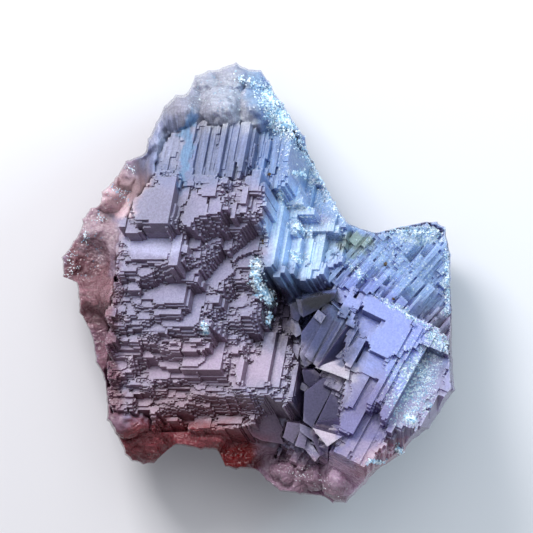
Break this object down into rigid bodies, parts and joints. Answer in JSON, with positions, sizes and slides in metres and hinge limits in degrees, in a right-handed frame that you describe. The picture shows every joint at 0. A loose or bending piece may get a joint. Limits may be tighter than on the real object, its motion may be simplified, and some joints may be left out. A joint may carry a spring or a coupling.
{
  "type": "fluorite specimen",
  "caption": "Cluster of intergrown cubic fluorite crystals with stepped, terraced faces, lying on its flat broken back.",
  "frame": {"origin": "centre of the specimen's outline, on the plane that its back rests on", "axes": "+Z out of the display face, +Y towards the specimen's peak, +X to the right of the display face"},
  "size_m": [0.0714, 0.08, 0.0375],
  "materials": {
    "fluorite": "etched, satin, translucent"
  },
  "bodies": {
    "root": {"fluorite": "fluorite"}
  },
  "joints": []
}
